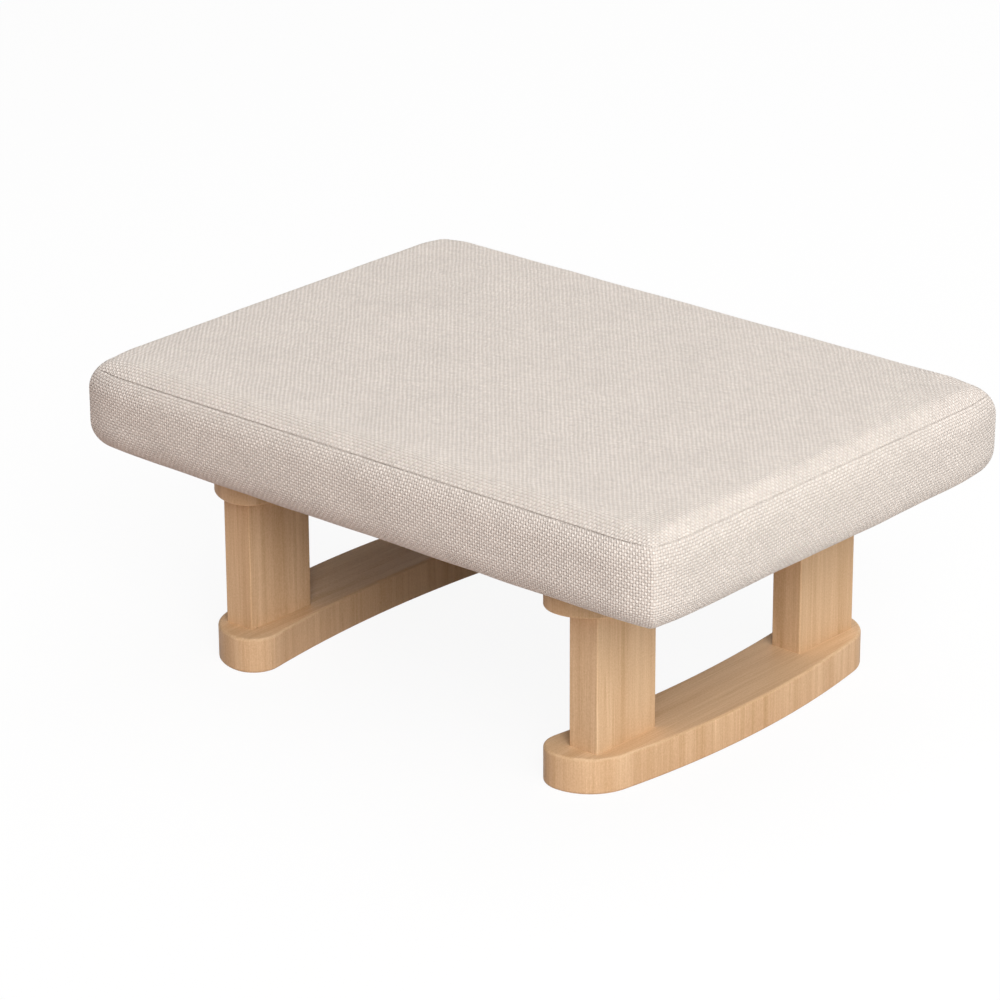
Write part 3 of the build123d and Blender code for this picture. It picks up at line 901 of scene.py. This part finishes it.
def top_panel(seat, weave, material):
    """Top of the cover: rows from inside the seam over the rounding, then a grid that rises to a crown."""
    ring = cover_ring(seat)
    far_from_seam = 1.0
    along, depth = rolled_edge(seat)
    arc = np.linspace(along[-1], seat.seam_angle * seat.top_round, TOP_ARC)[1:]
    from_seam = np.concatenate([along, arc])
    profiles = seam_profiles(seat, along, depth, arc, -1)
    inset, height = profiles[0]
    x, y, z = cover_rows(seat, ring, profiles, from_seam)
    inner = inset[-1] + seat.grid_step
    gx, gy = ring.grid(HALF_LENGTH - inner, HALF_DEPTH - inner)
    points = stacked((x, y, z), (gx, gy, height[-1]))
    seam_distance = np.concatenate([np.repeat(from_seam, ring.count), np.full_like(gx, far_from_seam)])
    points[2] += crown_rise(seat, *points[:2]) + puff_rise(seat, *points[:2], seam_distance - along[-1])
    rows = len(inset)
    cap_quads, fans = ring.cap_faces((rows - 1) * ring.count, rows * ring.count)
    quads = np.concatenate([ring.band_faces(rows), cap_quads])
    lengths = path_lengths(inset, height)
    flat_inset = inset[-1] - (lengths[-1] - lengths)
    corners = creased_corners(seat, inset, from_seam)
    ux, uy = ring.rows(HALF_LENGTH - flat_inset, HALF_DEPTH - flat_inset, *corners)
    yarns = np.column_stack([
        np.concatenate([ux.ravel(), gx]) / weave.pitch_x, np.concatenate([uy.ravel(), gy]) / weave.pitch_y
    ])
    piece = mesh_piece("top_panel_cloth", points.T, quads, fans, material, corners_of(yarns, quads, fans))
    edge = np.arange(len(along) * ring.count)
    swell(piece, edge, seat.top_swell, seat)
    way = ring.along(x[::-1], y[::-1])[::-1, :-1]
    beside = len(edge) + edge % ring.count
    uneven(piece, seat, seam_distance, np.concatenate([way.ravel(), 0 * gx]), edge, beside)
    thicken(piece, seat.cover_thickness)
    return piece


def side_band(seat, weave, material):
    """Sides of the cover: rows from under the board, round the bottom, up the side and into the seam."""
    ring = cover_ring(seat)
    along, depth = rolled_edge(seat)
    seam_to_side = (math.pi / 2 - seat.seam_angle) * seat.top_round
    arc = np.linspace(along[-1], seam_to_side, SIDE_ARC)[1:]
    upper = seam_profiles(seat, along, depth, arc, 1)
    low = BAND_LOW.z
    turn = np.linspace(np.pi / 2, 0.0, BOTTOM_ARC)
    round_inset = seat.bottom_round * (1 - np.cos(turn))
    round_height = low + seat.bottom_round * (1 - np.sin(turn))
    straight = np.linspace(round_height[-1], upper[0][1][-1], SIDE_ROWS)[1:-1]
    under = np.linspace(seat.bottom_round + seat.turn_under, seat.bottom_round, UNDER_ROWS)[:-1]
    lower_inset = np.concatenate([under, round_inset, 0 * straight])
    lower_height = np.concatenate([0 * under + low, round_height, straight])
    profiles = [
        (np.concatenate([lower_inset, inset[::-1]]), np.concatenate([lower_height, height[::-1]]))
        for inset, height in upper
    ]
    inset, height = profiles[0]
    x, y, z = cover_rows(seat, ring, profiles, 0 * inset)
    rows = len(inset)
    points = stacked((x, y, z))
    quads = ring.band_faces(rows)
    way = ring.along(x, y)
    whole = way[-1, -1]
    u = way / whole * 2 * round(whole / weave.pitch_round / 2)
    to_seam = path_lengths(inset, height)
    v = np.repeat(to_seam[:, None] / weave.pitch_up, ring.count, axis=1)
    corner_u = np.stack([u[:-1, :-1], u[:-1, 1:], u[1:, 1:], u[1:, :-1]], axis=-1)
    corner_v = np.stack([v[:-1], v[:-1], v[1:], v[1:]], axis=-1)
    corner_uv = np.stack([corner_u, corner_v], axis=-1).reshape(-1, 2)
    piece = mesh_piece("side_band_cloth", points.T, quads, no_fans(), material, corner_uv)
    held_rows = np.zeros(rows, bool)
    held_rows[: len(under) + STAPLED_ROWS] = True
    held_rows[-len(along):] = True
    swell(piece, np.flatnonzero(np.repeat(held_rows, ring.count)), seat.side_swell, seat)
    seam_distance = np.repeat(np.abs(to_seam[-1] - seat.seam_allowance - to_seam), ring.count)
    edge = np.arange((rows - len(along)) * ring.count, rows * ring.count)
    beside = edge[0] - ring.count + edge % ring.count
    uneven(piece, seat, seam_distance, way[:, :-1].ravel(), edge, beside)
    thicken(piece, seat.cover_thickness)
    return piece


def foam_form(seat, material):
    """Seat foam: a closed form with the cover's roundings, and a recess below for the board."""
    ring = Ring(steps_x=40, steps_y=28, steps_arc=6)
    ease = seat.foam_ease
    edge_step, grid_gap, slack = 0.001, 0.004, 0.0005
    top_round, bottom_round = seat.foam_round, seat.bottom_round - ease
    board_a, board_b = BOARD_HIGH.x, BOARD_HIGH.y
    turn = np.linspace(np.pi / 2, 0.0, num=7)
    low, high = FOAM_LOW.z, edge_level(seat) - ease
    back_turn = turn[::-1]
    inset = ease + np.concatenate([
        bottom_round * (1 - np.cos(turn)), top_round * (1 - np.cos(back_turn))
    ])
    height = np.concatenate([
        low + bottom_round * (1 - np.sin(turn)), high - top_round * (1 - np.sin(back_turn))
    ])
    a = np.concatenate([[board_a - edge_step, board_a, board_a], HALF_LENGTH - inset])
    b = np.concatenate([[board_b - edge_step, board_b, board_b], HALF_DEPTH - inset])
    r = np.concatenate([[BOARD_CORNER, BOARD_CORNER, BOARD_CORNER], corner_radii(seat, inset)])
    z = np.concatenate([[BOARD_HIGH.z, BOARD_HIGH.z, low], height])
    x, y = ring.rows(a, b, r)
    rows = len(z)
    lower_x, lower_y = ring.grid(board_a - BOARD_CORNER, board_b - BOARD_CORNER)
    inner = inset[-1] + grid_gap
    upper_x, upper_y = ring.grid(HALF_LENGTH - inner, HALF_DEPTH - inner)
    lower_cap, upper_cap = (lower_x, lower_y, BOARD_HIGH.z), (upper_x, upper_y, high)
    points = stacked((x, y, z[:, None]), lower_cap, upper_cap)
    crowned = points[2] > high - slack
    points[2, crowned] += crown_rise(seat, *points[:2, crowned])
    quads = ring.band_faces(rows)
    lower_quads, lower_fans = ring.cap_faces(0, rows * ring.count, facing_up=False)
    upper_start = rows * ring.count + len(lower_x)
    upper_quads, upper_fans = ring.cap_faces((rows - 1) * ring.count, upper_start)
    quads = np.concatenate([quads, lower_quads, upper_quads])
    return mesh_piece("foam_form", points.T, quads, np.concatenate([lower_fans, upper_fans]), material)


def dust_sheet(trim, material):
    """Dust cover: a level sheet with rounded corners that sags a little between the leg frames."""
    ring = Ring(steps_x=74, steps_y=52, steps_arc=8)
    a, b = DUST_HIGH.x, DUST_HIGH.y
    edge = np.array([0.0, 0.002, 0.005, 0.008])
    inner, rail_clear, hem = 0.0105, 0.006, 0.012
    even_sag, uneven_sag = 0.7, 0.3
    x, y = ring.rows(a - edge, b - edge, np.maximum(DUST_CORNER - edge, SHARPEST_CORNER))
    gx, gy = ring.grid(a - inner, b - inner)
    points = stacked((x, y, DUST_HIGH.z), (gx, gy, DUST_HIGH.z))
    px, py = points[:2]
    rail_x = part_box("right_top_rail")[0].x
    free_x = np.clip(1 - (np.abs(px) / (rail_x - rail_clear)) ** 4, 0, 1)
    free_y = np.clip(1 - (py / (b - hem)) ** 2, 0, 1)
    drop = free_x * free_y * trim.dust_sag * (even_sag + uneven_sag * soft_noise(px, py, SAG_SEED))
    points[2] -= drop
    cap_quads, fans = ring.cap_faces((len(edge) - 1) * ring.count, len(edge) * ring.count)
    quads = np.concatenate([ring.band_faces(len(edge)), cap_quads])
    piece = mesh_piece("dust_sheet", points.T, quads, fans, material)
    thicken(piece, DUST_HIGH.z - DUST_LOW.z)
    return piece


# Stage

def seen_directly(tree):
    """1 where a ray comes from the camera or through a mirror or glass, 0 for the light on the object."""
    path = tree.node("ShaderNodeLightPath").outputs
    shown = tree.math("MAXIMUM", path["Is Camera Ray"], path["Is Glossy Ray"])
    return tree.math("MAXIMUM", shown, path["Is Transmission Ray"])


def stage_floor(stage):
    """A wide pale floor that keeps the object's shadow, nearly white to the camera and clear from below."""
    half, bounce_from, bounce_to = 30.0, 0.12, 0.30
    points = np.array([(-half, -half, 0.0), (half, -half, 0.0), (half, half, 0.0), (-half, half, 0.0)])
    made, tree, surface = new_material("pale_floor", Roughness=0.9, Specular_IOR_Level=0.0)
    shown = seen_directly(tree)
    at_right = tree.spread(tree.parts(tree.object_coordinates())[0], bounce_from, bounce_to)
    bounce = tree.mix(at_right, rgba(stage.floor_bounce), rgba(stage.right_bounce))
    tree.put(surface.inputs["Base Color"], tree.mix(shown, bounce, rgba(stage.floor)))
    glow = tree.node("ShaderNodeEmission", {"Color": (1.0, 1.0, 1.0, 1.0), "Strength": 1.0})
    pale = tree.mix_shader(tree.times(shown, stage.floor_glow), surface.outputs[0], glow.outputs[0])
    from_below = tree.times(tree.node("ShaderNodeNewGeometry").outputs["Backfacing"], shown)
    clear = tree.node("ShaderNodeBsdfTransparent").outputs[0]
    output = made.node_tree.nodes["Material Output"]
    tree.put(output.inputs["Surface"], tree.mix_shader(from_below, pale, clear))
    floor = mesh_piece("floor", points, np.array([[0, 1, 2, 3]]), no_fans(), made)


def stage_sky(scene, stage):
    """Even light all round the object, and plain white to the camera."""
    scene.world = bpy.data.worlds.new("pale_sky")
    scene.world.use_nodes = True
    tree = Tree(scene.world.node_tree)
    sky = scene.world.node_tree.nodes["Background"]
    sky.inputs["Color"].default_value = (1.0, 1.0, 1.0, 1.0)
    tree.put(sky.inputs["Strength"], tree.spread(seen_directly(tree), 0.0, 1.0, stage.sky, 1.0))


def stage_lamp(name, power, size, place, tint=(1.0, 1.0, 1.0)):
    """A square soft lamp that faces the middle of the stool."""
    middle = Vector((0.0, 0.0, 0.1))
    lamp = bpy.data.lights.new(name, "AREA")
    lamp.energy = power
    lamp.color = tint
    lamp.size = size
    made = bpy.data.objects.new(name, lamp)
    made.location = place
    made.rotation_euler = (middle - Vector(place)).to_track_quat("-Z", "Y").to_euler()
    bpy.context.scene.collection.objects.link(made)


def stage_camera(scene, stage):
    """The camera at the photograph's angle, aimed beside the middle of the stool by slide and lift."""
    az, el, roll = stage.azimuth, stage.elevation, stage.roll
    back = Vector((math.sin(az) * math.cos(el), -math.cos(az) * math.cos(el), math.sin(el)))
    level_right = Vector((math.cos(az), math.sin(az), 0.0))
    level_up = back.cross(level_right)
    right = level_right * math.cos(roll) + level_up * math.sin(roll)
    up = level_up * math.cos(roll) - level_right * math.sin(roll)
    aim = Vector((0.0, 0.0, stage.middle)) + right * stage.slide + up * stage.lift
    place = aim + back * stage.distance
    camera = bpy.data.cameras.new("camera")
    camera.lens = stage.lens
    camera.sensor_width = 36.0
    camera.clip_end = 100.0
    made = bpy.data.objects.new("camera", camera)
    made.matrix_world = Matrix((right, up, back)).transposed().to_4x4()
    made.location = place
    scene.collection.objects.link(made)
    scene.camera = made


# Operators

class FOOTSTOOL_OT_cover(Operator):
    """Sews the woven cover: the top panel and the side band"""

    bl_idname = "footstool.cover"
    bl_label = "Cover"

    def execute(self, context):
        seat, weave = context.scene.footstool_seat, context.scene.footstool_weave
        material = cover_material(weave)
        for build, node in ((top_panel, "top_panel"), (side_band, "side_band")):
            piece = build(seat, weave, material)
            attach(piece, BODY)
            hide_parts(node)
        return {"FINISHED"}


class FOOTSTOOL_OT_padding(Operator):
    """Cuts the foam that fills the cover"""

    bl_idname = "footstool.padding"
    bl_label = "Padding"

    def execute(self, context):
        piece = foam_form(context.scene.footstool_seat, foam_material(context.scene.footstool_trim))
        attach(piece, BODY)
        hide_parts("foam_pad")
        return {"FINISHED"}


class FOOTSTOOL_OT_dust_cover(Operator):
    """Stretches the dust cover under the seat"""

    bl_idname = "footstool.dust_cover"
    bl_label = "Dust cover"

    def execute(self, context):
        trim = context.scene.footstool_trim
        piece = dust_sheet(trim, dust_material(trim))
        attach(piece, BODY)
        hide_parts("dust_cover")
        return {"FINISHED"}


class FOOTSTOOL_OT_timber(Operator):
    """Finishes the rails, posts, dowels and seat board"""

    bl_idname = "footstool.timber"
    bl_label = "Timber"

    def execute(self, context):
        timber = context.scene.footstool_timber
        for names, step, upright in ((RAILS, RAIL_SHIFT, False), (POSTS, POST_SHIFT, True)):
            for index, name in enumerate(names):
                shift = tuple(index * value for value in step)
                finish_nodes([name], timber_material(f"{name}_wood", timber, shift, upright))
        finish_nodes(DOWELS, timber_material("dowel_wood", timber, DOWEL_SHIFT, True))
        finish_nodes(["seat_board"], plywood_material(timber))
        return {"FINISHED"}


class FOOTSTOOL_OT_fasteners(Operator):
    """Finishes the bolts, nuts, washers, screws and staples"""

    bl_idname = "footstool.fasteners"
    bl_label = "Fasteners"

    def execute(self, context):
        trim = context.scene.footstool_trim
        finish_nodes(PLATED, metal_material("plated_steel", trim.plated))
        finish_nodes(STAPLES, metal_material("staple_wire", trim.wire))
        return {"FINISHED"}


class FOOTSTOOL_OT_stage(Operator):
    """Sets the pale floor, the soft light and the camera"""

    bl_idname = "footstool.stage"
    bl_label = "Stage"

    def execute(self, context):
        stage = context.scene.footstool_stage
        context.scene.view_settings.view_transform = "Standard"
        stage_floor(stage)
        stage_sky(context.scene, stage)
        stage_lamp("key_lamp", stage.key, size=1.8, place=(2.8, -0.5, 1.9))
        stage_lamp("side_lamp", stage.side, size=2.8, place=(3.4, -3.2, 3.3), tint=stage.side_tint)
        stage_lamp("top_lamp", stage.top, size=3.0, place=(0.0, 0.0, 2.5))
        stage_lamp("back_lamp", stage.back, size=2.0, place=(0.0, 2.0, 2.0))
        stage_camera(context.scene, stage)
        return {"FINISHED"}


class FOOTSTOOL_PT_panel(Panel):
    """Lists the footstool's pieces and settings"""

    bl_idname = "FOOTSTOOL_PT_panel"
    bl_label = "Footstool"
    bl_space_type = "VIEW_3D"
    bl_region_type = "UI"
    bl_category = "Footstool"

    def draw(self, context):
        for step in STEPS:
            self.layout.operator(step.bl_idname)
        for name, kind in SETTINGS.items():
            box = self.layout.box()
            group = getattr(context.scene, name)
            for value in kind.__annotations__:
                box.prop(group, value)


STEPS = (
    FOOTSTOOL_OT_cover,
    FOOTSTOOL_OT_padding,
    FOOTSTOOL_OT_dust_cover,
    FOOTSTOOL_OT_timber,
    FOOTSTOOL_OT_fasteners,
    FOOTSTOOL_OT_stage,
)
SETTINGS = {
    "footstool_seat": SeatSettings,
    "footstool_weave": WeaveSettings,
    "footstool_timber": TimberSettings,
    "footstool_trim": TrimSettings,
    "footstool_stage": StageSettings,
}


def register():
    for kind in (*SETTINGS.values(), *STEPS, FOOTSTOOL_PT_panel):
        bpy.utils.register_class(kind)
    for name, kind in SETTINGS.items():
        setattr(bpy.types.Scene, name, PointerProperty(type=kind))


def unregister():
    for name in SETTINGS:
        delattr(bpy.types.Scene, name)
    for kind in (FOOTSTOOL_PT_panel, *reversed(STEPS), *reversed(SETTINGS.values())):
        bpy.utils.unregister_class(kind)


def main():
    """Builds every piece in order."""
    register()
    bpy.ops.footstool.cover()
    bpy.ops.footstool.padding()
    bpy.ops.footstool.dust_cover()
    bpy.ops.footstool.timber()
    bpy.ops.footstool.fasteners()
    bpy.ops.footstool.stage()


if __name__ == "__main__":
    main()
